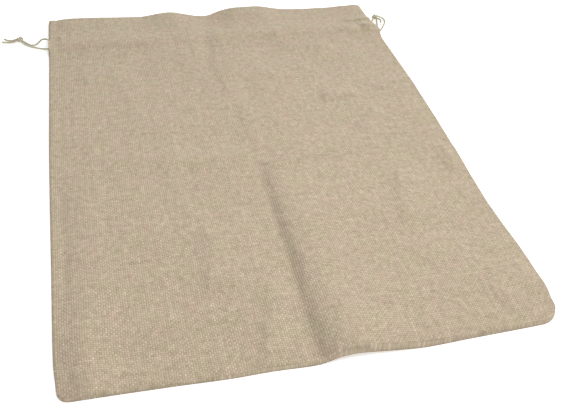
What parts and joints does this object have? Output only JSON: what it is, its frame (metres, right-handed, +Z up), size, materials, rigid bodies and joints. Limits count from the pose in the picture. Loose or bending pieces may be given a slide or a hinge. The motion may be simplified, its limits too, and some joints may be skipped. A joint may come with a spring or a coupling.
{
  "type": "sack race bag",
  "caption": "Flat-lying woven sack for sack races: two panels sewn round three sides, a hemmed mouth with a cord casing, and a knotted drawstring at each side.",
  "frame": {"origin": "middle of the sack's footprint, on the floor under the back panel, without the cords' free ends", "axes": "+Y along the sack from the bottom seam to the mouth, +X across it to the right, +Z up out of the front panel"},
  "size_m": [0.6229, 0.7, 0.0158],
  "materials": {
    "sack_cloth": "coarse plain-woven jute-look cloth, slubby yarns, matte",
    "sewing_thread": "spun sewing thread, matte",
    "overlock_thread": "spun overlock thread, matte",
    "drawcord": "twisted natural cotton cord, matte"
  },
  "bodies": {
    "back": {"back_panel": "sack_cloth", "back_hem": "sack_cloth", "back_rim_fold": "sack_cloth", "back_hem_stitching": "sewing_thread", "left_seam_allowance": "sack_cloth", "right_seam_allowance": "sack_cloth", "bottom_seam_allowance": "sack_cloth", "left_seam_thread": "sewing_thread", "right_seam_thread": "sewing_thread", "bottom_seam_thread": "sewing_thread", "left_overlock_thread": "overlock_thread", "right_overlock_thread": "overlock_thread", "bottom_overlock_thread": "overlock_thread", "left_cord_back_run": "drawcord", "left_cord_bight": "drawcord", "right_cord_back_run": "drawcord", "right_cord_bight": "drawcord"},
    "front": {"front_panel": "sack_cloth", "front_hem": "sack_cloth", "front_rim_fold": "sack_cloth", "front_hem_stitching": "sewing_thread", "left_cord_front_run": "drawcord", "right_cord_front_run": "drawcord"},
    "left_drawstring": {"left_cord_front_leg": "drawcord", "left_cord_back_leg": "drawcord", "left_cord_knot": "drawcord", "left_cord_front_tail": "drawcord", "left_cord_back_tail": "drawcord"},
    "right_drawstring": {"right_cord_front_leg": "drawcord", "right_cord_back_leg": "drawcord", "right_cord_knot": "drawcord", "right_cord_front_tail": "drawcord", "right_cord_back_tail": "drawcord"}
  },
  "joints": [
    {"name": "mouth_open", "type": "hinge", "parent": "back", "child": "front", "pos_m": [0, -0.35, 0.001], "axis": [1, 0, 0], "range_deg": [0, 8]},
    {"name": "left_cord_pull", "type": "slide", "parent": "back", "child": "left_drawstring", "axis": [-1, 0, 0], "range_m": [0, 0.025]},
    {"name": "right_cord_pull", "type": "slide", "parent": "back", "child": "right_drawstring", "axis": [1, 0, 0], "range_m": [0, 0.025]}
  ]
}
